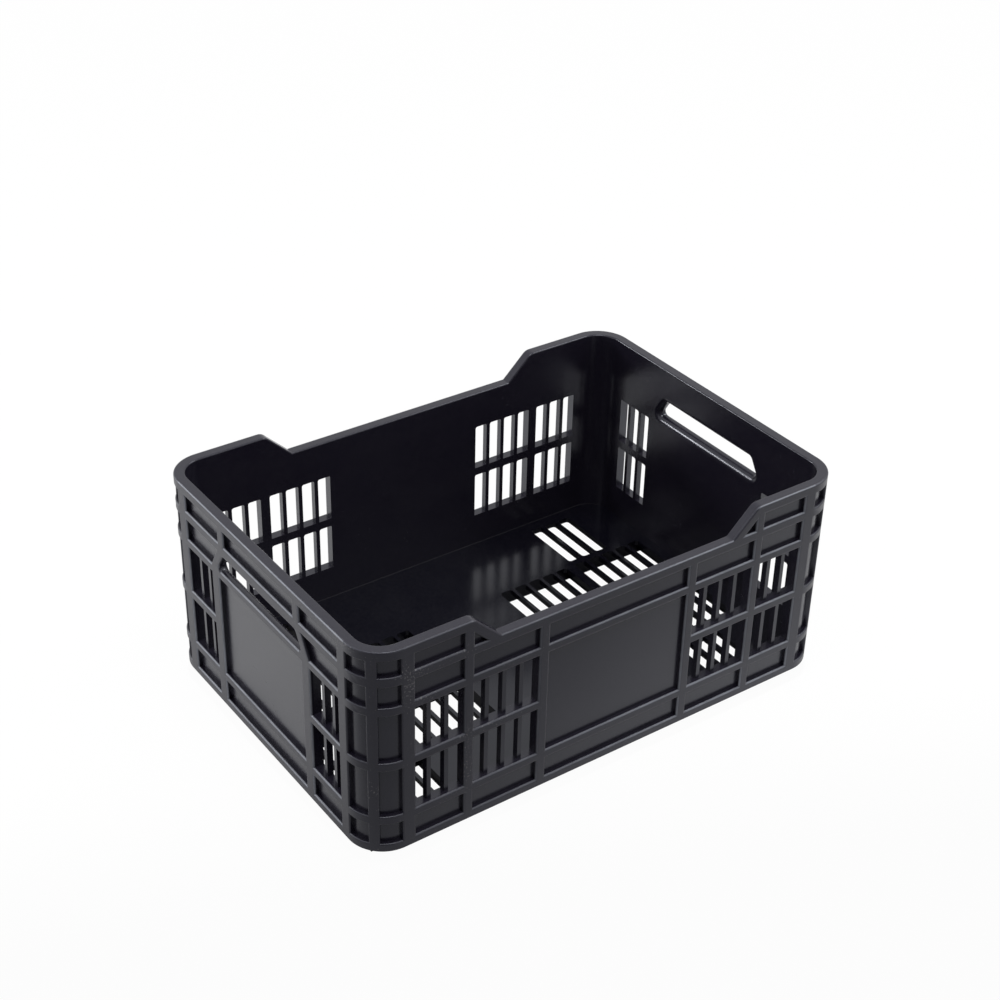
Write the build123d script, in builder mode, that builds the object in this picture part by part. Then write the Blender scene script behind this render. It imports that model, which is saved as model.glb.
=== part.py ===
"""Ribbed and slotted fruit crate: one moulding, cut into the regions that a person would name.

Frame: +X along the long walls, -Y towards the front long wall, +Z up. Units are millimetres.
Levels are measured up from the lower edge of the walls. The finished regions are raised by FOOT.
That puts the origin under the middle of the crate, on the surface that it stands on.
"""
import os
from math import degrees, hypot

from build123d import *

# Size of the walls, and how far they end above the ground
LENGTH = 500.0
WIDTH = 347.0
HEIGHT = 204.5
FOOT = 12.0
CORNER_RADIUS = 34.0

# Wall section: a thin inner skin with ribs standing out of it
RIB_DEPTH = 4.5
SKIN = 5.9
WALL = RIB_DEPTH + SKIN

# Tops of the level ribs that run round the crate, and the height of their faces
LOW_RIM_TOP = 179.3
UPPER_RIB_TOP = 149.7
MIDDLE_RIB_TOP = 93.7
LOWER_RIB_TOP = 37.3
BASE_RIB_TOP = 8.0
RIM_FACE = 9.5
RIB_FACE = 8.5

# Upright ribs of a long wall: near and far edge from the wall's middle
INNER_RIB = (73.5, 83.6)
OUTER_RIB = (148.5, 158.0)
LONG_CORNER_RIB = 205.0

# Upright ribs of an end wall: above and below the hand hole
GRIP_RIB = (58.5, 69.3)
LABEL_RIB = (70.8, 84.0)
END_CORNER_RIB = 128.3

# Ribs on the round corners, along the arc: at its ends, and in its middle
CORNER_EDGE_RIB = 1.8
CORNER_MIDDLE_RIB = 10.0

# Dip in the rim of a long wall
DIP_TOP = 149.0
DIP_FOOT = 122.6
DIP_TOP_RADIUS = 10.0
DIP_FOOT_RADIUS = 1.0

# Hand hole: level of its head, and half width at its head and at its sill
HOLE_TOP = 168.0
HOLE_HEAD = 62.0
HOLE_SILL = 73.0
HOLE_RADIUS = 4.0
GRIP_ROUND = 7.0

# Wall slots
BAR = 4.0
SLOT_RADIUS = 2.0
LONG_WALL_SLOTS = {"inner": 4, "outer": 3}
END_WALL_SLOTS = 3

# Floor: a plate, thicker where it is slotted, on thin ribs that reach down to the ground
FLOOR_TOP = 3.0
FLOOR_PLATE = 3.0
FLOOR_GRILLE = 5.3
FLOOR_MARGIN = 3.0
FLOOR_RIB = 2.5
FLOOR_SLOT = 13.5
FLOOR_SLOT_RADIUS = 3.0
FLOOR_PITCH = 17.1
FLOOR_COLUMNS = 5
FLOOR_EDGE_COLUMNS = 3
FLOOR_INNER_COLUMN = 60.8
FLOOR_OUTER_COLUMN = 152.7
FLOOR_MIDDLE_ROW = (14.3, 75.0)
FLOOR_EDGE_ROW = (82.0, 149.0)

# Ribs under the floor: along the crate at the ends of the slots, and across it at these distances
# from the middle, as far as this end
LONG_RIBS = (
    FLOOR_MIDDLE_ROW[0] - FLOOR_RIB / 2,
    FLOOR_MIDDLE_ROW[1] + FLOOR_RIB / 2,
    FLOOR_EDGE_ROW[0] - FLOOR_RIB / 2,
)
CROSS_RIBS = (51.5, 142.5, 234.5)
CROSS_RIB_END = 151.5

# Rounded edges
RIM_ROUND = 1.5
EDGE_ROUND = 2.0
CORNER_EDGE_ROUND = 1.4
BASE_ROUND = 0.5

# Places where the moulding is cut into regions, in the middle of ribs
CUT_CORNER_X = 210.0
CUT_CORNER_Y = 133.5
CUT_LABEL_X = 78.5
CUT_LABEL_Y = 77.4
CUT_DIP_X = 116.0
CUT_UPPER_RIB = UPPER_RIB_TOP - RIB_FACE / 2
CUT_HOLE = 160.0
CUT_FLOOR_X = 50.0

# How far a cutting shape reaches past a face, how closely an edge's place is matched,
# and the least upward share of a normal that counts as facing up
REACH = 1.0
NEAR = 0.1
UPWARD = 0.5

# Levels of the plain and slotted cells between the ribs: bottom and top
TOP_CELL = (LOW_RIM_TOP, HEIGHT - RIM_FACE)
UPPER_CELL = (UPPER_RIB_TOP, LOW_RIM_TOP - RIM_FACE)
UPPER_ROW = (MIDDLE_RIB_TOP, UPPER_RIB_TOP - RIB_FACE)
LOWER_ROW = (LOWER_RIB_TOP, MIDDLE_RIB_TOP - RIB_FACE)
LABEL_CELL = (LOWER_RIB_TOP, UPPER_RIB_TOP - RIB_FACE)
BASE_CELL = (BASE_RIB_TOP, LOWER_RIB_TOP - RIB_FACE)

# Outer faces of the walls, seen from outside with the sketch's Y upwards
FRONT = Plane((0, -WIDTH / 2, 0), x_dir=(1, 0, 0), z_dir=(0, -1, 0))
BACK = Plane((0, WIDTH / 2, 0), x_dir=(-1, 0, 0), z_dir=(0, 1, 0))
LEFT = Plane((-LENGTH / 2, 0, 0), x_dir=(0, -1, 0), z_dir=(-1, 0, 0))
RIGHT = Plane((LENGTH / 2, 0, 0), x_dir=(0, 1, 0), z_dir=(1, 0, 0))


def both_sides(near, far):
    """The two spans from near to far on either side of a wall's middle."""
    return [(near, far), (-far, -near)]


def cell(span, levels):
    """A rectangle in the sketch that is open, from its span across and its levels."""
    with Locations(((span[0] + span[1]) / 2, (levels[0] + levels[1]) / 2)):
        Rectangle(span[1] - span[0], levels[1] - levels[0])


def slots(span, levels, count):
    """A row of slots that fills a bay between two ribs, parted by thin bars. Only their tops are round."""
    middle = (span[0] + span[1]) / 2
    width = (span[1] - span[0] - (count - 1) * BAR) / count
    height = levels[1] - levels[0]
    with Locations((middle, levels[0] + height / 2)):
        with GridLocations(width + BAR, 1, count, 1):
            RectangleRounded(width, height, SLOT_RADIUS)
    with Locations((middle, levels[0] + height / 4)):
        with GridLocations(width + BAR, 1, count, 1):
            Rectangle(width, height / 2)


# Triangle under the slope of a shoulder, which leaves a rim as wide as the level one
slope_run = DIP_TOP - DIP_FOOT
slope_rise = HEIGHT - LOW_RIM_TOP
triangle_tip = DIP_FOOT + RIM_FACE * hypot(slope_run, slope_rise) / slope_rise
triangle_top = LOW_RIM_TOP + (OUTER_RIB[0] - triangle_tip) * slope_rise / slope_run

long_bays = {"inner": (INNER_RIB[1], OUTER_RIB[0]), "outer": (OUTER_RIB[1], LONG_CORNER_RIB)}
end_bay = (LABEL_RIB[1], END_CORNER_RIB)

with BuildPart() as moulding:
    # Plain wall all round
    with BuildSketch():
        RectangleRounded(LENGTH, WIDTH, CORNER_RADIUS)
        RectangleRounded(LENGTH - 2 * WALL, WIDTH - 2 * WALL, CORNER_RADIUS - WALL, mode=Mode.SUBTRACT)
    extrude(amount=HEIGHT)

    # Dips of the long walls
    with BuildSketch(Plane.XZ):
        with BuildLine():
            Polyline(
                (-DIP_TOP, HEIGHT),
                (-DIP_FOOT, LOW_RIM_TOP),
                (DIP_FOOT, LOW_RIM_TOP),
                (DIP_TOP, HEIGHT),
                close=True,
            )
        make_face()
    extrude(amount=WIDTH, both=True, mode=Mode.SUBTRACT)
    across = moulding.edges().filter_by(Axis.Y).filter_by(lambda e: abs(e.length - WALL) < NEAR)
    fillet(across.filter_by_position(Axis.Z, HEIGHT - NEAR, HEIGHT + NEAR), DIP_TOP_RADIUS)
    across = moulding.edges().filter_by(Axis.Y).filter_by(lambda e: abs(e.length - WALL) < NEAR)
    foot = across.filter_by_position(Axis.Z, LOW_RIM_TOP - NEAR, LOW_RIM_TOP + NEAR)
    fillet(foot.filter_by_position(Axis.X, -DIP_FOOT - NEAR, DIP_FOOT + NEAR), DIP_FOOT_RADIUS)

    # Round edges of the rim, and of the foot of the outer face
    upper_faces = moulding.faces().filter_by(lambda f: f.normal_at().Z > UPWARD)
    rim_edges = ShapeList(e for f in upper_faces for e in f.edges() if abs(e.length - WALL) > NEAR)
    fillet(rim_edges, RIM_ROUND)
    underside = moulding.faces().sort_by(Axis.Z)[0]
    fillet(underside.outer_wire().edges(), BASE_ROUND)

    # Cells of the long walls
    for face in (FRONT, BACK):
        with BuildSketch(face):
            for side in both_sides(*long_bays["outer"]):
                for levels in (TOP_CELL, UPPER_CELL, UPPER_ROW, LOWER_ROW, BASE_CELL):
                    cell(side, levels)
            for side in both_sides(*long_bays["inner"]):
                for levels in (UPPER_CELL, UPPER_ROW, LOWER_ROW, BASE_CELL):
                    cell(side, levels)
            for levels in (UPPER_CELL, LABEL_CELL, BASE_CELL):
                cell((-INNER_RIB[0], INNER_RIB[0]), levels)
            for sign in (-1, 1):
                with BuildLine():
                    Polyline(
                        (sign * OUTER_RIB[0], LOW_RIM_TOP),
                        (sign * OUTER_RIB[0], triangle_top),
                        (sign * triangle_tip, LOW_RIM_TOP),
                        close=True,
                    )
                make_face()
        extrude(amount=-RIB_DEPTH, mode=Mode.SUBTRACT)

    # Cells of the end walls
    for face in (LEFT, RIGHT):
        with BuildSketch(face):
            for side in both_sides(*end_bay):
                for levels in (UPPER_ROW, LOWER_ROW, BASE_CELL):
                    cell(side, levels)
            for side in both_sides(GRIP_RIB[1], END_CORNER_RIB):
                cell(side, TOP_CELL)
            cell((-GRIP_RIB[0], GRIP_RIB[0]), TOP_CELL)
            for levels in (LABEL_CELL, BASE_CELL):
                cell((-LABEL_RIB[0], LABEL_RIB[0]), levels)
            for sign in (-1, 1):
                with BuildLine():
                    Polyline(
                        (sign * LABEL_RIB[1], UPPER_CELL[0]),
                        (sign * END_CORNER_RIB, UPPER_CELL[0]),
                        (sign * END_CORNER_RIB, UPPER_CELL[1]),
                        (sign * (HOLE_HEAD + GRIP_RIB[1] - GRIP_RIB[0]), UPPER_CELL[1]),
                        close=True,
                    )
                make_face()
        extrude(amount=-RIB_DEPTH, mode=Mode.SUBTRACT)

    # Cells of the round corners
    edge_angle = degrees(CORNER_EDGE_RIB / CORNER_RADIUS)
    middle_angle = degrees(CORNER_MIDDLE_RIB / CORNER_RADIUS)
    cell_angle = 45 - edge_angle - middle_angle / 2
    corner_x = LENGTH / 2 - CORNER_RADIUS
    corner_y = WIDTH / 2 - CORNER_RADIUS
    corners = [
        (corner_x, corner_y, 0),
        (-corner_x, corner_y, 90),
        (-corner_x, -corner_y, 180),
        (corner_x, -corner_y, 270),
    ]
    for levels in (TOP_CELL, UPPER_CELL, UPPER_ROW, LOWER_ROW, BASE_CELL):
        with BuildSketch(Plane.XY.offset(levels[0])):
            for x, y, turn in corners:
                for start in (turn + edge_angle, turn + 45 + middle_angle / 2):
                    with BuildLine():
                        inner = CenterArc((x, y), CORNER_RADIUS - RIB_DEPTH, start, cell_angle)
                        outer = CenterArc((x, y), CORNER_RADIUS + REACH, start, cell_angle)
                        Line(inner @ 0, outer @ 0)
                        Line(inner @ 1, outer @ 1)
                    make_face()
        extrude(amount=levels[1] - levels[0], mode=Mode.SUBTRACT)

    # Hand holes
    for face in (LEFT, RIGHT):
        with BuildSketch(face):
            with BuildLine():
                Polyline(
                    (-HOLE_SILL, UPPER_CELL[0]),
                    (HOLE_SILL, UPPER_CELL[0]),
                    (HOLE_HEAD, HOLE_TOP),
                    (-HOLE_HEAD, HOLE_TOP),
                    close=True,
                )
            hole = make_face()
            fillet(hole.vertices().group_by(Axis.Z)[-1], HOLE_RADIUS)
        extrude(amount=-WALL, mode=Mode.SUBTRACT)
    level_edges = moulding.edges().filter_by(Axis.Y)
    head_edges = level_edges.filter_by_position(Axis.Z, HOLE_TOP - NEAR, HOLE_TOP + NEAR)
    for end in (-1, 1):
        inner_face = end * (LENGTH / 2 - WALL)
        fillet(head_edges.filter_by_position(Axis.X, inner_face - NEAR, inner_face + NEAR), GRIP_ROUND)

    # Round outer edges of every cell and hand hole
    flat_faces = [moulding.faces().sort_by(axis)[end] for axis in (Axis.X, Axis.Y) for end in (0, -1)]
    cylinders = moulding.faces().filter_by(GeomType.CYLINDER)
    round_faces = [f for f in cylinders if abs(f.radius - CORNER_RADIUS) < NEAR]
    for faces, radius in ((flat_faces, EDGE_ROUND), (round_faces, CORNER_EDGE_ROUND)):
        for face in faces:
            loops = [e for wire in face.inner_wires() for e in wire.edges()]
            fillet(loops, radius)

    # Slots through the skin
    for face in (FRONT, BACK):
        with BuildSketch(face):
            for name, bay in long_bays.items():
                for side in both_sides(*bay):
                    for levels in (UPPER_ROW, LOWER_ROW):
                        slots(side, levels, LONG_WALL_SLOTS[name])
        extrude(amount=-WALL, mode=Mode.SUBTRACT)
    for face in (LEFT, RIGHT):
        with BuildSketch(face):
            for side in both_sides(*end_bay):
                for levels in (UPPER_ROW, LOWER_ROW):
                    slots(side, levels, END_WALL_SLOTS)
        extrude(amount=-WALL, mode=Mode.SUBTRACT)

os.makedirs("parts", exist_ok=True)


def save(piece, name):
    """Raise a finished region to its place above the ground, label it and write it."""
    raised = piece.moved(Location((0, 0, FOOT)))
    raised.label = name
    export_step(raised, f"parts/{name}.step")


def cut_region(name, x, y, z):
    """One named region of the moulding: the stretch of it inside a box with these spans."""
    with BuildPart() as region:
        add(moulding.part)
        with Locations(((x[0] + x[1]) / 2, (y[0] + y[1]) / 2, (z[0] + z[1]) / 2)):
            Box(x[1] - x[0], y[1] - y[0], z[1] - z[0], mode=Mode.INTERSECT)
    save(region.part, name)


# Boxes reach past the outer faces, and stop well inside the crate
out_x = LENGTH / 2 + REACH
out_y = WIDTH / 2 + REACH
sides_x = {"left": (-out_x, -CUT_CORNER_X), "right": (CUT_CORNER_X, out_x)}
sides_y = {"front": (-out_y, -CUT_CORNER_Y), "back": (CUT_CORNER_Y, out_y)}
whole = (-REACH, HEIGHT + REACH)
lower = (-REACH, CUT_UPPER_RIB)
upper = (CUT_UPPER_RIB, HEIGHT + REACH)

for wall, depth in sides_y.items():
    for end, span in sides_x.items():
        cut_region(f"corner_post_{wall}_{end}", span, depth, whole)

for wall, depth in sides_y.items():
    cut_region(f"{wall}_label_panel", (-CUT_LABEL_X, CUT_LABEL_X), depth, lower)
    cut_region(f"{wall}_low_rim", (-CUT_DIP_X, CUT_DIP_X), depth, upper)
    for end, sign in (("left", -1), ("right", 1)):
        cut_region(f"{wall}_vent_{end}", sorted((sign * CUT_LABEL_X, sign * CUT_CORNER_X)), depth, lower)
        cut_region(f"{wall}_shoulder_{end}", sorted((sign * CUT_DIP_X, sign * CUT_CORNER_X)), depth, upper)

for end, depth in sides_x.items():
    cut_region(f"{end}_label_panel", depth, (-CUT_LABEL_Y, CUT_LABEL_Y), (-REACH, CUT_HOLE))
    cut_region(f"{end}_handle_bar", depth, (-CUT_LABEL_Y, CUT_LABEL_Y), (CUT_HOLE, HEIGHT + REACH))
    for wall, sign in (("front", -1), ("back", 1)):
        cut_region(f"{end}_vent_{wall}", depth, sorted((sign * CUT_LABEL_Y, sign * CUT_CORNER_Y)), lower)
        cut_region(f"{end}_rim_{wall}", depth, sorted((sign * CUT_LABEL_Y, sign * CUT_CORNER_Y)), upper)

# Fields of slots in the right back quarter of the floor: middle, size and number of columns
fields = []
for first, columns, row in (
    (FLOOR_INNER_COLUMN, FLOOR_COLUMNS, FLOOR_MIDDLE_ROW),
    (FLOOR_OUTER_COLUMN, FLOOR_COLUMNS, FLOOR_MIDDLE_ROW),
    (FLOOR_OUTER_COLUMN, FLOOR_EDGE_COLUMNS, FLOOR_EDGE_ROW),
):
    reach = (columns - 1) * FLOOR_PITCH
    fields.append(((first + reach / 2, sum(row) / 2), (reach + FLOOR_SLOT, row[1] - row[0]), columns))

# Floor between the walls
with BuildPart() as floor:
    with BuildSketch(Plane.XY.offset(FLOOR_TOP - FLOOR_PLATE)):
        RectangleRounded(LENGTH - 2 * WALL, WIDTH - 2 * WALL, CORNER_RADIUS - WALL)
    extrude(amount=FLOOR_PLATE)
    with BuildSketch(Plane.XY.offset(FLOOR_TOP - FLOOR_GRILLE)):
        for (x, y), (wide, long), columns in fields:
            with GridLocations(2 * x, 2 * y, 2, 2):
                Rectangle(wide + 2 * FLOOR_MARGIN, long + 2 * FLOOR_MARGIN)
    extrude(amount=FLOOR_GRILLE)
    with BuildSketch(Plane.XY.offset(-FOOT)):
        for y in LONG_RIBS:
            with GridLocations(1, 2 * y, 1, 2):
                Rectangle(2 * CROSS_RIBS[-1], FLOOR_RIB)
        for x in CROSS_RIBS:
            with GridLocations(2 * x, 1, 2, 1):
                Rectangle(FLOOR_RIB, 2 * CROSS_RIB_END)
    extrude(amount=FOOT + FLOOR_TOP)
    with BuildSketch(Plane.XY.offset(FLOOR_TOP)):
        for (x, y), (wide, long), columns in fields:
            with GridLocations(2 * x, 2 * y, 2, 2):
                with GridLocations(FLOOR_PITCH, 1, columns, 1):
                    RectangleRounded(FLOOR_SLOT, long, FLOOR_SLOT_RADIUS)
    extrude(amount=-FLOOR_GRILLE, mode=Mode.SUBTRACT)

floor_spans = {
    "floor_grille_left": (-out_x, -CUT_FLOOR_X),
    "floor_panel": (-CUT_FLOOR_X, CUT_FLOOR_X),
    "floor_grille_right": (CUT_FLOOR_X, out_x),
}
for name, span in floor_spans.items():
    with BuildPart() as plate:
        add(floor.part)
        with Locations(((span[0] + span[1]) / 2, 0, 0)):
            Box(span[1] - span[0], WIDTH, 2 * (FOOT + REACH), mode=Mode.INTERSECT)
    save(plate.part, name)
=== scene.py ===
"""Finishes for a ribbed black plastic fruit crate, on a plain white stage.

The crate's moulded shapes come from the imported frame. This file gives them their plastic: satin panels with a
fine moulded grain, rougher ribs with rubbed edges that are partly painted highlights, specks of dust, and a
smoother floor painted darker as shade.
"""

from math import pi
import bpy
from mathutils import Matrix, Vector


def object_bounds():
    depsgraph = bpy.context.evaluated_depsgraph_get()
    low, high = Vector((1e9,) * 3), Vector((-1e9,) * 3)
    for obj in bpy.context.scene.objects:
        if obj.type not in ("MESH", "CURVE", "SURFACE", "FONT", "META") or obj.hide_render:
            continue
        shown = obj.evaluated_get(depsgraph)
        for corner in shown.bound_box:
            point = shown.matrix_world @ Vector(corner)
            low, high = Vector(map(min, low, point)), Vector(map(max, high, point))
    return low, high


bl_info = {
    "name": "Fruit Crate Finishes",
    "version": (1, 0, 0),
    "blender": (4, 5, 0),
    "location": "View3D > Sidebar > Crate",
    "description": "Moulded plastic finishes for a ribbed fruit crate, with a plain white stage",
    "category": "Material",
}

import bpy
from bpy.props import FloatProperty, FloatVectorProperty, PointerProperty
from mathutils import Matrix, Vector

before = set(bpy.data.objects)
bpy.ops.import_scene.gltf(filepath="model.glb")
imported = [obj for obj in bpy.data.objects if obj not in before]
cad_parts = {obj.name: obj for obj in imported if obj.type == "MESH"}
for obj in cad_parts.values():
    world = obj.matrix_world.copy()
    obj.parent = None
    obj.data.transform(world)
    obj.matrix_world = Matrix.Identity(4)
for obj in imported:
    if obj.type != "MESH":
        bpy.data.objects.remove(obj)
CAD_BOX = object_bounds()
HALF_LENGTH, HALF_WIDTH = CAD_BOX[1][:2]

# Each of these pairs is the start and the end of a mask that goes from 0 to 1.

# Turns of the outline, in metres: from an end wall to a long wall, and from a straight wall to a round corner
WALL_TURN = (-0.001, 0.001)
CORNER_START = (-0.001, 0.0)

# Level edges, by their normal: its upward share, its outward share, and the sideways slant at which they end
LEVEL_UP = (0.12, 0.5)
LEVEL_OUT = (0.15, 0.45)
LEVEL_SLANT = (0.06, 0.25)

# Upright edges, by their normal: its sideways slant, and the upward share at which they end
UPRIGHT_SLANT = (0.12, 0.4)
UPRIGHT_UP = (0.1, 0.4)

# Run of the long walls from left to right, in metres, over which their edges get more rubbing and more painted
# highlight
RUB_AND_HIGHLIGHT_RUN = (-0.2, 0.15)

# Depths under the outer surface, in metres: where specks end, and where the rough face of a rib ends
SPECK_DEPTH = (0.0004, 0.0022)
RIB_FACE = (0.0005, 0.003)

# Distances past the walls' inner face, in metres: where the inside starts, and both sides of the painted
# highlight line
INSIDE_START = (-0.0006, -0.0001)
SEAM_NEAR = (-0.0002, 0.0)
SEAM_FAR = (0.0008, 0.0014)

# Place across the crate, in metres, from which the painted highlight line runs along the back wall
SEAM_BACK = (0.14, 0.16)

# Values of noise: patches of rubbed edge, gathered specks, and one speck over the limit for specks
PATCHES = (0.25, 0.65)
GATHERED = (0.45, 0.75)
SPECK = (0.0, 0.05)

# The stage: the edge of the painted shade under the crate and the painted shade on the camera's side, in
# metres, and the dark room's share of the sky, by the dot product with the way to its middle
SHADE_EDGE = (-0.004, 0.0)
SHADE_RUN = (0.06, 0.32)
ROOM_EDGE = (0.70, 0.92)

# Directions on the stage: over the floor to the camera's side, and up to the middle of the dark room
CAMERA_SIDE = (-0.4, -0.92)
ROOM_WAY = (-0.48, -0.73, 0.48)

# Shares of rubbing and painted edge highlight: upright edges, long walls at their left and what they gain to
# the right, round corners, and the plastic between patches
UPRIGHT_RUB = 0.8
LEFT_RUB = 0.15
RIGHT_GAIN = 0.65
CORNER_RUB = 0.2
PATCH_GAP_RUB = 0.6

# Specks: what a distance along the height counts, and how far the limit drops near the corner and in a group
HEIGHT_SHARE = 0.7
CORNER_DROP = 0.14
GROUP_DROP = 0.03

# Film of dust: the share of its clouds, and the value of the noise under which the plastic is clean
CLOUD_SHARE = 0.5
CLEAN_LIMIT = 0.55

# Roughness that clouds, flecks, rubbed and highlit edges, and specks add. Noise adds it on both sides of its
# mean.
CLOUD_ROUGH = 0.08
FLECK_ROUGH = 0.12
WORN_AND_HIGHLIT_ROUGH = 0.08
SPECK_ROUGH = 0.25
NOISE_MEAN = 0.5

# Coarse grain under the fine one: its size and height, as multiples of the fine grain's
COARSE_SIZE = 9
COARSE_HEIGHT = 0.8

# A full white, and the width of the camera's sensor in millimetres
WHITE = (1, 1, 1, 1)
SENSOR_WIDTH = 36


class CratePlastic(bpy.types.PropertyGroup):
    """Sizes and colours of the plastic."""

    colour: FloatVectorProperty(
        name="Plastic", description="Colour of the black plastic", subtype="COLOR",
        default=(0.0092, 0.0078, 0.0148), min=0, max=1,
    )
    # Painted shade: the floor's plastic is the walls' black plastic painted darker for the shade inside the
    # crate.
    shaded_floor_colour: FloatVectorProperty(
        name="Bottom", description="Colour of the black plastic of the crate's floor", subtype="COLOR",
        default=(0.0020, 0.0018, 0.0050), min=0, max=1,
    )
    # Painted highlight as well as wear: this lighter colour goes on the rubbed edges that face the light.
    worn_and_highlight_colour: FloatVectorProperty(
        name="Worn edge", description="Colour of rubbed edges", subtype="COLOR",
        default=(0.20, 0.21, 0.24), min=0, max=1,
    )
    dust_colour: FloatVectorProperty(
        name="Dust", description="Colour of the film and the specks of dust", subtype="COLOR",
        default=(0.30, 0.29, 0.29), min=0, max=1,
    )
    rib_roughness: FloatProperty(
        name="Rib roughness", description="Roughness of the outer faces of the ribs", subtype="FACTOR",
        default=0.40, min=0, max=1,
    )
    outside_roughness: FloatProperty(
        name="Outside roughness", description="Roughness of the satin panels between the ribs",
        subtype="FACTOR", default=0.24, min=0, max=1,
    )
    inside_roughness: FloatProperty(
        name="Inside roughness", description="Roughness of the smooth inside", subtype="FACTOR",
        default=0.24, min=0, max=1,
    )
    floor_roughness: FloatProperty(
        name="Floor roughness", description="Roughness of the polished floor", subtype="FACTOR",
        default=0.17, min=0, max=1,
    )
    gloss: FloatProperty(
        name="Gloss", description="Strength of the plastic's own reflection", subtype="FACTOR",
        default=0.62, min=0, max=1,
    )
    tint: FloatVectorProperty(
        name="Tint", description="Colour of the plastic's own reflection", subtype="COLOR",
        default=(0.88, 0.91, 1.0), min=0, max=1,
    )
    grain: FloatProperty(
        name="Grain", description="Size of the moulded grain", unit="LENGTH",
        default=0.0007, min=0.0001, max=0.01,
    )
    grain_height: FloatProperty(
        name="Grain height", description="Height of the moulded grain", unit="LENGTH",
        default=0.000012, min=0, max=0.001,
    )
    corner_radius: FloatProperty(
        name="Corner radius", description="Outer radius of the crate's corners", unit="LENGTH",
        default=0.034, min=0.001, max=0.1,
    )
    edge_width: FloatProperty(
        name="Edge width", description="Depth of the rounded rib edges", unit="LENGTH",
        default=0.0020, min=0.0001, max=0.01,
    )
    wall: FloatProperty(
        name="Wall", description="Depth of the ribbed wall", unit="LENGTH",
        default=0.0104, min=0.001, max=0.05,
    )
    patch: FloatProperty(
        name="Rubbed patch", description="Size of the patches in rubbed edges", unit="LENGTH",
        default=0.022, min=0.001, max=0.1,
    )
    speck: FloatProperty(
        name="Speck", description="Size of the specks of dust", unit="LENGTH",
        default=0.0017, min=0.0002, max=0.02,
    )
    speck_share: FloatProperty(
        name="Speck strength", description="How far a speck goes to the colour of dust", subtype="FACTOR",
        default=0.42, min=0, max=1,
    )
    speck_limit: FloatProperty(
        name="Speck limit", description="Value of the noise over which there are specks", subtype="FACTOR",
        default=0.70, min=0, max=1,
    )
    speck_corner: FloatVectorProperty(
        name="Speck corner", description="Place near which the specks gather", subtype="XYZ", unit="LENGTH",
        default=(-0.215, -0.165, 0.185),
    )
    speck_reach: FloatProperty(
        name="Speck reach", description="How far from that place the specks gather", unit="LENGTH",
        default=0.154919, min=0.001, max=1,
    )
    gather: FloatProperty(
        name="Speck group", description="Size of the groups of specks", unit="LENGTH",
        default=0.05, min=0.001, max=0.5,
    )
    cloud: FloatProperty(
        name="Dust cloud", description="Size of the clouds in the film of dust", unit="LENGTH",
        default=0.045, min=0.001, max=0.5,
    )
    fleck: FloatProperty(
        name="Dust fleck", description="Size of the fine flecks in the film of dust", unit="LENGTH",
        default=0.0035, min=0.0001, max=0.1,
    )
    film: FloatProperty(
        name="Dust film", description="Strength of the thin film of dust", subtype="FACTOR",
        default=0.035, min=0, max=1,
    )
    # Painted highlight: strength of a light line, in the colour of dust, on the floor along the foot of the
    # back wall.
    seam_highlight: FloatProperty(
        name="Seam dust", description="Strength of the line of dust between the floor and the back wall",
        subtype="FACTOR", default=0.05, min=0, max=1,
    )


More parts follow.
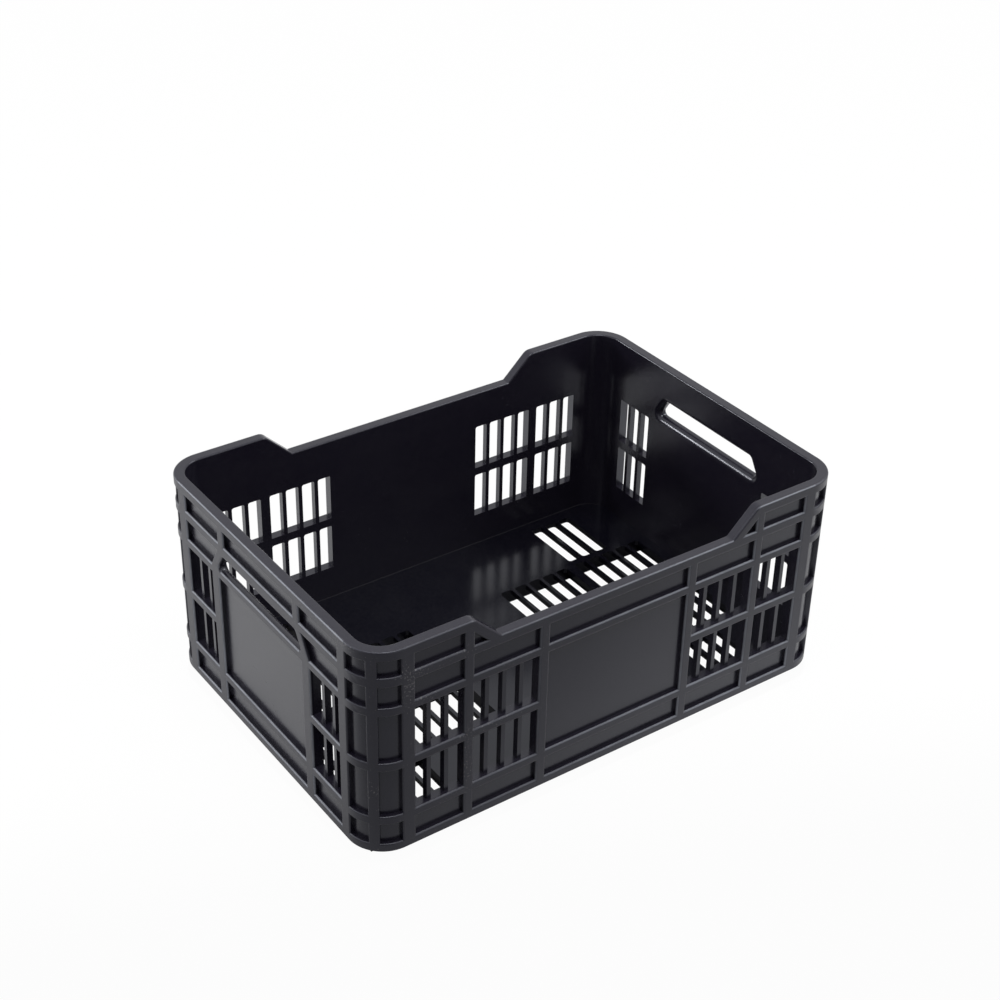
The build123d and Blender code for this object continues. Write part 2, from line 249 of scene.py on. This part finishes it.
class CrateStage(bpy.types.PropertyGroup):
    """Floor, light and camera."""

    floor_colour: FloatVectorProperty(
        name="Floor", description="Colour of the floor", subtype="COLOR",
        default=(0.9, 0.9, 0.9), min=0, max=1,
    )
    floor_size: FloatProperty(
        name="Floor size", description="Side of the square floor", unit="LENGTH",
        default=12.0, min=1, max=100,
    )
    # Painted shade: the floor takes this grey under the crate and on the camera's side.
    shade_colour: FloatVectorProperty(
        name="Shade", description="Colour of the floor under the crate and on the camera's side",
        subtype="COLOR", default=(0.15, 0.15, 0.15), min=0, max=1,
    )
    whiteness: FloatProperty(
        name="Whiteness", description="How far the floor goes to white where it is seen",
        subtype="FACTOR", default=0.97, min=0, max=1,
    )
    mirrored: FloatProperty(
        name="Mirrored whiteness", description="How far the floor goes to white in a mirror",
        subtype="FACTOR", default=0.46, min=0, max=1,
    )
    # Painted shade in reflections: the floor's whiteness in a mirror drops by this share on the camera's side.
    near_loss: FloatProperty(
        name="Near loss", description="How much of that whiteness is lost on the camera's side",
        subtype="FACTOR", default=0.4, min=0, max=1,
    )
    sky: FloatProperty(
        name="Sky", description="Strength of the even light from all round",
        default=0.78, min=0, max=5,
    )
    room: FloatProperty(
        name="Room", description="Strength of the darker side behind the camera",
        default=0.15, min=0, max=5,
    )
    key_power: FloatProperty(
        name="Key light", description="Power of the large light overhead", unit="POWER",
        default=24.0, min=0, max=1000,
    )
    key_place: FloatVectorProperty(
        name="Key place", description="Place of the large light overhead", subtype="XYZ", unit="LENGTH",
        default=(-0.2, -0.6, 2.3),
    )
    key_width: FloatProperty(
        name="Key width", description="Width of the large light overhead", unit="LENGTH",
        default=1.2, min=0.01, max=10,
    )
    side_power: FloatProperty(
        name="Side light", description="Power of the small light at the back left", unit="POWER",
        default=15.0, min=0, max=1000,
    )
    side_place: FloatVectorProperty(
        name="Side place", description="Place of the small light at the back left", subtype="XYZ",
        unit="LENGTH", default=(-1.45, 1.65, 0.85),
    )
    side_width: FloatProperty(
        name="Side width", description="Width of the small light at the back left", unit="LENGTH",
        default=0.5, min=0.01, max=10,
    )
    fill_power: FloatProperty(
        name="Fill light", description="Power of the light over the right", unit="POWER",
        default=13.0, min=0, max=1000,
    )
    fill_place: FloatVectorProperty(
        name="Fill place", description="Place of the light over the right", subtype="XYZ", unit="LENGTH",
        default=(1.36, -0.44, 1.75),
    )
    fill_width: FloatProperty(
        name="Fill width", description="Width of the light over the right", unit="LENGTH",
        default=0.9, min=0.01, max=10,
    )
    lit_point: FloatVectorProperty(
        name="Lit point", description="Point that all lights face", subtype="XYZ", unit="LENGTH",
        default=(0.0, 0.0, 0.1),
    )
    azimuth: FloatProperty(
        name="Azimuth", description="Camera's turn round the crate", subtype="ANGLE", default=-0.626189,
    )
    elevation: FloatProperty(
        name="Elevation", description="Camera's height angle", subtype="ANGLE", default=0.566412,
    )
    roll: FloatProperty(
        name="Roll", description="Camera's tilt to one side", subtype="ANGLE", default=0.023841,
    )
    distance: FloatProperty(
        name="Distance", description="Camera's distance from its aim", unit="LENGTH",
        default=1.715768, min=0.1,
    )
    aim: FloatVectorProperty(
        name="Aim", description="Point in the middle of the picture", subtype="XYZ", unit="LENGTH",
        default=(0.027943, 0.042304, 0.151655),
    )
    lens: FloatProperty(
        name="Lens", description="Focal length in millimetres", default=66.375, min=1,
    )


class Field:
    """A value that changes over a surface. It wraps a node's output, and arithmetic on it adds Math nodes."""

    def __init__(self, tree, socket):
        self.tree = tree
        self.socket = socket

    def node(self, kind, settings, sockets, output=0):
        """Add a node of this kind: first its settings, then the values or links of its sockets."""
        made = self.tree.nodes.new(kind)
        for name, value in settings.items():
            setattr(made, name, value)
        for key, value in sockets.items():
            if isinstance(value, Field):
                self.tree.links.new(value.socket, made.inputs[key])
            else:
                made.inputs[key].default_value = value
        return Field(self.tree, made.outputs[output])

    def math(self, operation, *values):
        """One Math node on these values."""
        return self.node("ShaderNodeMath", {"operation": operation}, dict(enumerate(values)))

    def __add__(self, other):
        return self.math("ADD", self, other)

    def __radd__(self, other):
        return self.math("ADD", other, self)

    def __sub__(self, other):
        return self.math("SUBTRACT", self, other)

    def __rsub__(self, other):
        return self.math("SUBTRACT", other, self)

    def __mul__(self, other):
        return self.math("MULTIPLY", self, other)

    def __rmul__(self, other):
        return self.math("MULTIPLY", other, self)

    def __pow__(self, other):
        return self.math("POWER", self, other)

    def __abs__(self):
        return self.math("ABSOLUTE", self)

    def most(self, other):
        """The larger of two values."""
        return self.math("MAXIMUM", self, other)

    def least(self, other):
        """The smaller of two values."""
        return self.math("MINIMUM", self, other)

    def rise(self, low, high):
        """Goes smoothly from 0 at low to 1 at high."""
        settings = {"interpolation_type": "SMOOTHSTEP"}
        sockets = {"Value": self, "From Min": low, "From Max": high}
        return self.node("ShaderNodeMapRange", settings, sockets)

    def parts(self):
        """The x, y and z of this place or direction."""
        split = self.node("ShaderNodeSeparateXYZ", {}, {0: self}).socket.node
        return [Field(self.tree, output) for output in split.outputs]

    def noise(self, size, detail=2.0, roughness=0.5):
        """Cloudy noise from 0 to 1 over this place, with lumps of this size."""
        sockets = {"Vector": self, "Scale": 1 / size, "Detail": detail, "Roughness": roughness}
        return self.node("ShaderNodeTexNoise", {}, sockets)

    def mix(self, first, second):
        """Colour that goes from the first to the second as this value goes from 0 to 1.

        Sockets 6 and 7 are the Mix node's two colours, and output 2 is its mixed colour.
        """
        return self.node("ShaderNodeMix", {"data_type": "RGBA"}, {0: self, 6: first, 7: second}, 2)

    def to_output(self, kind):
        """Link this shader to a new output node of this kind."""
        self.tree.links.new(self.socket, self.tree.nodes.new(kind).inputs["Surface"])


def new_material(name):
    """An empty node material, and a first field in its tree to grow expressions from."""
    material = bpy.data.materials.new(name)
    material.use_nodes = True
    material.node_tree.nodes.clear()
    return material, Field(material.node_tree, None)


def opaque(colour):
    """A colour with full alpha, as a colour socket takes it."""
    return (*colour, 1.0)


def past_straight(x, y, plastic):
    """How far a point lies past the straight part of the outline, along the crate and across it, in metres."""
    past_x = abs(x) - (HALF_LENGTH - plastic.corner_radius)
    past_y = abs(y) - (HALF_WIDTH - plastic.corner_radius)
    return past_x, past_y


def shell_depth(past_x, past_y, plastic):
    """How deep a point lies under the crate's upright outer surface, in metres.

    It is the distance to the outline of a rectangle with round corners, taken as positive inside. The two
    distances past the straight part of the outline are joined as a length where both are positive, round a
    corner, and as the larger of the two elsewhere.
    """
    corner = (past_x.most(0.0) ** 2 + past_y.most(0.0) ** 2) ** 0.5
    flat = past_x.most(past_y).least(0.0)
    return plastic.corner_radius - corner - flat


class Spot:
    """Where a point of the crate lies and which way it faces, as fields of one material."""

    def __init__(self, start, plastic):
        self.place = start.node("ShaderNodeTexCoord", {}, {}, "Object")
        self.x, self.y, self.z = self.place.parts()
        normal = start.node("ShaderNodeNewGeometry", {}, {}, "Normal")
        self.along, self.across, self.up = normal.parts()
        self.past_x, self.past_y = past_straight(self.x, self.y, plastic)
        self.depth = shell_depth(self.past_x, self.past_y, plastic)


def rubbed_and_highlit_edges(spot, plastic):
    """How far an edge near the outer surface is rubbed and lightened as a painted highlight, from 0 to 1,
    broken up into patches by noise.

    Level edges that face up and out are lightened, and so are upright edges of the straight walls that face the
    front left or the back right. These are the edges that catch the light, so the lightening is partly wear and
    partly painted highlight. The long walls get less than the end walls, and less at their left than at their
    right. The round corners get little.
    """
    long_wall = (spot.past_y - spot.past_x).rise(*WALL_TURN)
    straight = 1 - spot.past_x.least(spot.past_y).rise(*CORNER_START)
    outward = long_wall * abs(spot.across) + (1 - long_wall) * abs(spot.along)
    slant = spot.along * spot.across
    level = spot.up.rise(*LEVEL_UP) * outward.rise(*LEVEL_OUT) * (1 - abs(slant).rise(*LEVEL_SLANT))
    upright = slant.rise(*UPRIGHT_SLANT) * (1 - abs(spot.up).rise(*UPRIGHT_UP)) * straight * UPRIGHT_RUB
    outer_band = 1 - spot.depth.rise(plastic.edge_width, plastic.edge_width * 2)
    long_wall_rub = spot.x.rise(*RUB_AND_HIGHLIGHT_RUN) * RIGHT_GAIN + LEFT_RUB
    rub_and_highlight_side = long_wall_rub.most(1 - long_wall) * (CORNER_RUB + (1 - CORNER_RUB) * straight)
    patches = spot.place.noise(plastic.patch, detail=3.0, roughness=0.6).rise(*PATCHES)
    patchy = PATCH_GAP_RUB + (1 - PATCH_GAP_RUB) * patches
    return level.most(upright) * outer_band * rub_and_highlight_side * patchy


def dust_specks(spot, plastic):
    """Specks of dust, from 0 to 1, on the outer faces of the ribs.

    A speck is a small lump of noise that stands over a limit. The limit is lower in the groups of specks, and
    lowest in those near one corner, where the distance along the height counts for less.
    """
    outer = 1 - spot.depth.rise(*SPECK_DEPTH)
    corner_x, corner_y, corner_z = plastic.speck_corner
    height = (spot.z - corner_z) * HEIGHT_SHARE
    square_distance = (spot.x - corner_x) ** 2 + (spot.y - corner_y) ** 2 + height ** 2
    near_corner = 1 - square_distance.rise(0.0, plastic.speck_reach ** 2)
    gather = spot.place.noise(plastic.gather).rise(*GATHERED)
    lumps = spot.place.noise(plastic.speck, roughness=0.62)
    limit = plastic.speck_limit - CORNER_DROP * near_corner * gather - GROUP_DROP * gather
    return (lumps - limit).rise(*SPECK) * outer


def seam_highlight_line(spot, plastic):
    """A faint painted highlight, from 0 to 1: a light line on the floor along the foot of the back wall."""
    past_wall = spot.depth - plastic.wall
    band = past_wall.rise(*SEAM_NEAR) - past_wall.rise(*SEAM_FAR)
    return band * spot.up * spot.y.rise(*SEAM_BACK)


def moulded_plastic(name, plastic, clean_colour, roughness_of):
    """Black plastic with a moulded grain, rubbed rib edges, specks and a thin film of dust.

    roughness_of takes the field of depth under the outer surface and returns the clean roughness.
    """
    material, start = new_material(name)
    spot = Spot(start, plastic)
    worn_and_highlit = rubbed_and_highlit_edges(spot, plastic)
    specks = dust_specks(spot, plastic)
    clouds = spot.place.noise(plastic.cloud, detail=3.0, roughness=0.55)
    flecks = spot.place.noise(plastic.fleck, detail=3.0, roughness=0.7)
    film = (clouds * CLOUD_SHARE + flecks - CLEAN_LIMIT).most(0.0) * plastic.film
    # The film of dust, and the painted highlight line along the back wall.
    dust_and_highlight = film + seam_highlight_line(spot, plastic) * plastic.seam_highlight

    colour = dust_and_highlight.mix(opaque(clean_colour), opaque(plastic.dust_colour))
    # Painted highlight and wear: edges that face the light are lightened toward the worn colour.
    colour = worn_and_highlit.mix(colour, opaque(plastic.worn_and_highlight_colour))
    colour = (specks * plastic.speck_share).mix(colour, opaque(plastic.dust_colour))
    uneven = (clouds - NOISE_MEAN) * CLOUD_ROUGH + (flecks - NOISE_MEAN) * FLECK_ROUGH
    roughness = uneven + roughness_of(spot.depth) + worn_and_highlit * WORN_AND_HIGHLIT_ROUGH + specks * SPECK_ROUGH

    fine_grain = spot.place.noise(plastic.grain, roughness=0.6)
    coarse_grain = spot.place.noise(plastic.grain * COARSE_SIZE, detail=1.0)
    grain = fine_grain + coarse_grain * COARSE_HEIGHT
    bump = start.node("ShaderNodeBump", {}, {
        "Distance": plastic.grain_height, "Strength": 1.0, "Height": grain,
    })
    shader = start.node("ShaderNodeBsdfPrincipled", {}, {
        "Base Color": colour, "Roughness": roughness, "Normal": bump,
        "Specular IOR Level": plastic.gloss, "Specular Tint": opaque(plastic.tint),
    })
    shader.to_output("ShaderNodeOutputMaterial")
    return material


def wall_plastic(plastic):
    """The walls' material, made once: rough rib faces, satin panels and a smooth inside."""
    made = bpy.data.materials.get("crate_wall_plastic")
    if made:
        return made

    def roughness_of(depth):
        inside = (depth - plastic.wall).rise(*INSIDE_START)
        rib = 1 - depth.rise(*RIB_FACE)
        smooth = plastic.outside_roughness + inside * (plastic.inside_roughness - plastic.outside_roughness)
        return smooth + rib * (plastic.rib_roughness - plastic.outside_roughness)

    return moulded_plastic("crate_wall_plastic", plastic, plastic.colour, roughness_of)


def floor_plastic(plastic):
    """The floor's material: the same black plastic painted darker as shade, and polished, with one roughness
    all over.
    """

    def roughness_of(depth):
        return plastic.floor_roughness

    return moulded_plastic("crate_floor_plastic", plastic, plastic.shaded_floor_colour, roughness_of)


def dress(starts, material):
    """Give a material to the nodes of the frame whose names start with one of these words."""
    names = [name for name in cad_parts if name.startswith(starts)]
    for name in names:
        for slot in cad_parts[name].material_slots:
            slot.material = material


class CRATE_OT_corner_posts(bpy.types.Operator):
    """Dress the four round corner posts"""

    bl_idname = "crate.corner_posts"
    bl_label = "Corner Posts"

    def execute(self, context):
        dress("corner_post_", wall_plastic(context.scene.crate_plastic))
        return {"FINISHED"}


class CRATE_OT_long_walls(bpy.types.Operator):
    """Dress the front and back walls: label panels, vents, shoulders and low rims"""

    bl_idname = "crate.long_walls"
    bl_label = "Long Walls"

    def execute(self, context):
        dress(("front_", "back_"), wall_plastic(context.scene.crate_plastic))
        return {"FINISHED"}


class CRATE_OT_end_walls(bpy.types.Operator):
    """Dress the end walls: label panels, vents, rims and handle bars"""

    bl_idname = "crate.end_walls"
    bl_label = "End Walls"

    def execute(self, context):
        dress(("left_", "right_"), wall_plastic(context.scene.crate_plastic))
        return {"FINISHED"}


class CRATE_OT_floor(bpy.types.Operator):
    """Dress the slotted floor"""

    bl_idname = "crate.floor"
    bl_label = "Slotted Floor"

    def execute(self, context):
        dress("floor_", floor_plastic(context.scene.crate_plastic))
        return {"FINISHED"}


def white_floor(stage, plastic):
    """A matt floor that keeps the crate's shadow, and goes to white where it is seen.

    In a mirror it goes part of the way, less on the camera's side, and not under the crate, as painted shade.
    The matt floor is painted grey as shade under the crate and on the camera's side.
    """
    material, start = new_material("stage_floor")
    place = start.node("ShaderNodeTexCoord", {}, {}, "Object")
    x, y, _ = place.parts()
    past_x, past_y = past_straight(x, y, plastic)
    outside = 1 - shell_depth(past_x, past_y, plastic).rise(*SHADE_EDGE)
    near_side = (x * CAMERA_SIDE[0] + y * CAMERA_SIDE[1]).rise(*SHADE_RUN)
    # Painted shade: grey under the crate and on the camera's side, on top of the shadow the lamps cast.
    painted_shade = near_side.most(1 - outside)
    colour = painted_shade.mix(opaque(stage.floor_colour), opaque(stage.shade_colour))
    camera = start.node("ShaderNodeLightPath", {}, {}, "Is Camera Ray")
    glossy = start.node("ShaderNodeLightPath", {}, {}, "Is Glossy Ray")
    through = start.node("ShaderNodeLightPath", {}, {}, "Is Transmission Ray")
    # Painted shade in reflections: less white on the camera's side, and none under the crate.
    mirror_share = outside * (1 - stage.near_loss * near_side) * stage.mirrored
    white_share = (camera * stage.whiteness).most(glossy.most(through) * mirror_share)
    matt = start.node("ShaderNodeBsdfDiffuse", {}, {"Color": colour})
    white = start.node("ShaderNodeEmission", {}, {"Color": WHITE, "Strength": 1.0})
    mixed = start.node("ShaderNodeMixShader", {}, {0: white_share, 1: matt, 2: white})
    mixed.to_output("ShaderNodeOutputMaterial")
    return material


def studio_sky(stage):
    """An even pale light from all round, with a darker room behind the camera.

    It is white where it is seen.
    """
    world = bpy.data.worlds.new("stage_sky")
    world.use_nodes = True
    world.node_tree.nodes.clear()
    start = Field(world.node_tree, None)
    way = start.node("ShaderNodeTexCoord", {}, {}, "Object")
    # Output 1 of a Vector Math node is a number: the dot product of the two directions
    facing = start.node("ShaderNodeVectorMath", {"operation": "DOT_PRODUCT"}, {0: way, 1: ROOM_WAY}, 1)
    pale = start.node("ShaderNodeBackground", {}, {"Color": WHITE, "Strength": stage.sky})
    dark = start.node("ShaderNodeBackground", {}, {"Color": WHITE, "Strength": stage.room})
    white = start.node("ShaderNodeBackground", {}, {"Color": WHITE, "Strength": 1.0})
    camera = start.node("ShaderNodeLightPath", {}, {}, "Is Camera Ray")
    light = start.node("ShaderNodeMixShader", {}, {0: facing.rise(*ROOM_EDGE), 1: pale, 2: dark})
    mixed = start.node("ShaderNodeMixShader", {}, {0: camera, 1: light, 2: white})
    mixed.to_output("ShaderNodeOutputWorld")
    return world


def area_light(name, place, target, size, power):
    """A soft round light that faces a target."""
    lamp = bpy.data.lights.new(name, "AREA")
    lamp.shape = "DISK"
    lamp.size = size
    lamp.energy = power
    piece = bpy.data.objects.new(name, lamp)
    piece.location = place
    piece.rotation_euler = (Vector(target) - Vector(place)).to_track_quat("-Z", "Y").to_euler()
    bpy.context.scene.collection.objects.link(piece)


def place_camera(stage):
    """Camera at an azimuth and elevation round its aim, rolled about its own axis."""
    data = bpy.data.cameras.new("camera")
    data.lens = stage.lens
    data.sensor_width = SENSOR_WIDTH
    camera = bpy.data.objects.new("camera", data)
    turn = Matrix.Rotation(stage.azimuth, 4, "Z")
    tip = Matrix.Rotation(pi / 2 - stage.elevation, 4, "X")
    roll = Matrix.Rotation(stage.roll, 4, "Z")
    back = Matrix.Translation((0, 0, stage.distance))
    camera.matrix_world = Matrix.Translation(stage.aim) @ turn @ tip @ roll @ back
    bpy.context.scene.collection.objects.link(camera)
    bpy.context.scene.camera = camera


class CRATE_OT_stage(bpy.types.Operator):
    """Make the white floor, the soft light and the camera"""

    bl_idname = "crate.stage"
    bl_label = "Stage"

    def execute(self, context):
        stage = context.scene.crate_stage
        half = stage.floor_size / 2
        corners = [(-half, -half, 0), (half, -half, 0), (half, half, 0), (-half, half, 0)]
        mesh = bpy.data.meshes.new("stage_floor")
        mesh.from_pydata(corners, [], [(0, 1, 2, 3)])
        mesh.materials.append(white_floor(stage, context.scene.crate_plastic))
        floor = bpy.data.objects.new("stage_floor", mesh)
        context.scene.collection.objects.link(floor)
        context.scene.world = studio_sky(stage)
        area_light("key_light", stage.key_place, stage.lit_point, stage.key_width, stage.key_power)
        area_light("side_light", stage.side_place, stage.lit_point, stage.side_width, stage.side_power)
        area_light("fill_light", stage.fill_place, stage.lit_point, stage.fill_width, stage.fill_power)
        place_camera(stage)
        context.scene.view_settings.view_transform = "Standard"
        return {"FINISHED"}


class CRATE_PT_panel(bpy.types.Panel):
    """The crate's pieces, sizes and colours"""

    bl_idname = "CRATE_PT_panel"
    bl_label = "Fruit Crate"
    bl_space_type = "VIEW_3D"
    bl_region_type = "UI"
    bl_category = "Crate"

    def draw(self, context):
        for operator in OPERATORS:
            self.layout.operator(operator.bl_idname)
        for group in (context.scene.crate_plastic, context.scene.crate_stage):
            for name in group.__annotations__:
                self.layout.prop(group, name)


OPERATORS = (
    CRATE_OT_corner_posts,
    CRATE_OT_long_walls,
    CRATE_OT_end_walls,
    CRATE_OT_floor,
    CRATE_OT_stage,
)
CLASSES = (CratePlastic, CrateStage, *OPERATORS, CRATE_PT_panel)


def register():
    for cls in CLASSES:
        bpy.utils.register_class(cls)
    bpy.types.Scene.crate_plastic = PointerProperty(type=CratePlastic)
    bpy.types.Scene.crate_stage = PointerProperty(type=CrateStage)


def unregister():
    del bpy.types.Scene.crate_stage
    del bpy.types.Scene.crate_plastic
    for cls in reversed(CLASSES):
        bpy.utils.unregister_class(cls)


def main():
    """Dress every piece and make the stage."""
    register()
    bpy.ops.crate.corner_posts()
    bpy.ops.crate.long_walls()
    bpy.ops.crate.end_walls()
    bpy.ops.crate.floor()
    bpy.ops.crate.stage()


if __name__ == "__main__":
    main()
